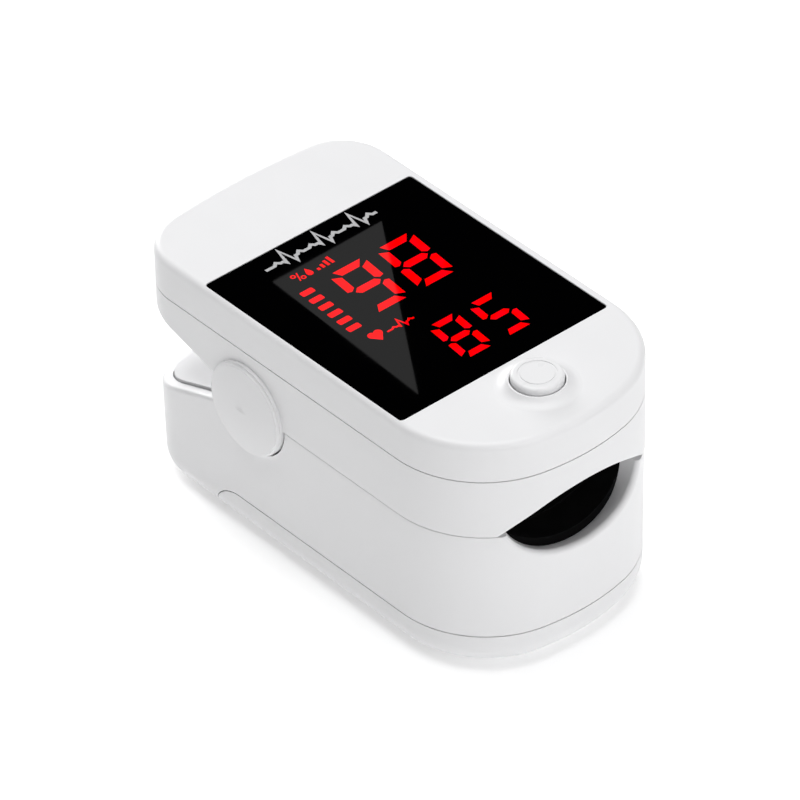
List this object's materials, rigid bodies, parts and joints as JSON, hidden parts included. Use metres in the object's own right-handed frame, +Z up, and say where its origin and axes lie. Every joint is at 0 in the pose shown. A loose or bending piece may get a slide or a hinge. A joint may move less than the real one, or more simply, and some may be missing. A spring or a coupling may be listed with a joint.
{
  "type": "fingertip pulse oximeter",
  "caption": "Fingertip pulse oximeter: sprung clip of two white jaws with a black display window, a push button, padded finger tunnel, hinge ears and sliding battery door.",
  "frame": {"origin": "centre of the underside's bounding rectangle, on the face the oximeter rests on", "axes": "+Z up, from the battery door to the display; +Y along the finger, from the mouth to the hinge end; +X to the reader's right when the display reads upright"},
  "size_m": [0.0338, 0.058, 0.0331],
  "materials": {
    "shell_white": "satin white moulded plastic",
    "bed_white": "fine matt white moulded plastic",
    "button_white": "satin white moulded plastic",
    "window_black": "polished black window",
    "lit_red": "lit red display marks",
    "pad_black": "soft matt black silicone",
    "board_green": "solder mask",
    "module_grey": "display housing",
    "chip_black": "moulded epoxy",
    "switch_steel": "pressed steel",
    "plunger_dark": "moulded plastic",
    "led_clear": "clear resin",
    "detector_dark": "dark resin",
    "steel": "ground steel",
    "spring_steel": "drawn spring wire",
    "screw_steel": "plated steel",
    "ribbon_amber": "amber polyimide film",
    "cell_jacket": "printed cell jacket",
    "contact_nickel": "nickel plate"
  },
  "bodies": {
    "lower_half": {"lower_housing": "shell_white", "finger_bed": "bed_white", "lower_finger_pad": "pad_black", "photodetector": "detector_dark", "detector_board": "board_green", "bed_screws": "screw_steel", "battery_left": "cell_jacket", "battery_right": "cell_jacket", "battery_springs": "spring_steel", "battery_contact_rear": "contact_nickel", "battery_contact_front": "contact_nickel", "torsion_spring_left": "spring_steel", "torsion_spring_right": "spring_steel", "sensor_flex": "ribbon_amber"},
    "upper_half": {"top_cover": "shell_white", "display_window": "window_black", "display_segments": "lit_red", "tact_switch": "switch_steel", "main_pcb": "board_green", "display_module": "module_grey", "control_chip": "chip_black", "power_chip": "chip_black", "upper_frame": "shell_white", "upper_finger_pad": "pad_black", "led_emitter": "led_clear", "case_screws": "screw_steel", "hinge_pins": "steel"},
    "button": {"power_button": "button_white", "switch_plunger": "plunger_dark"},
    "door": {"battery_door": "shell_white"}
  },
  "joints": [
    {"name": "jaw_hinge", "type": "hinge", "parent": "lower_half", "child": "upper_half", "pos_m": [0, 0.0088, 0.01915], "axis": [-1, 0, 0], "range_deg": [0, 26], "stiffness_Nm_per_rad": 0.06, "springref_deg": -20.05, "deforming": ["torsion_spring_left", "torsion_spring_right", "sensor_flex"]},
    {"name": "button_press", "type": "slide", "parent": "upper_half", "child": "button", "axis": [0, 0, -1], "range_m": [0, 0.0004], "stiffness_N_per_m": 900, "springref_m": -0.0008},
    {"name": "battery_door_slide", "type": "slide", "parent": "lower_half", "child": "door", "axis": [0, -1, 0], "range_m": [0, 0.06]}
  ]
}
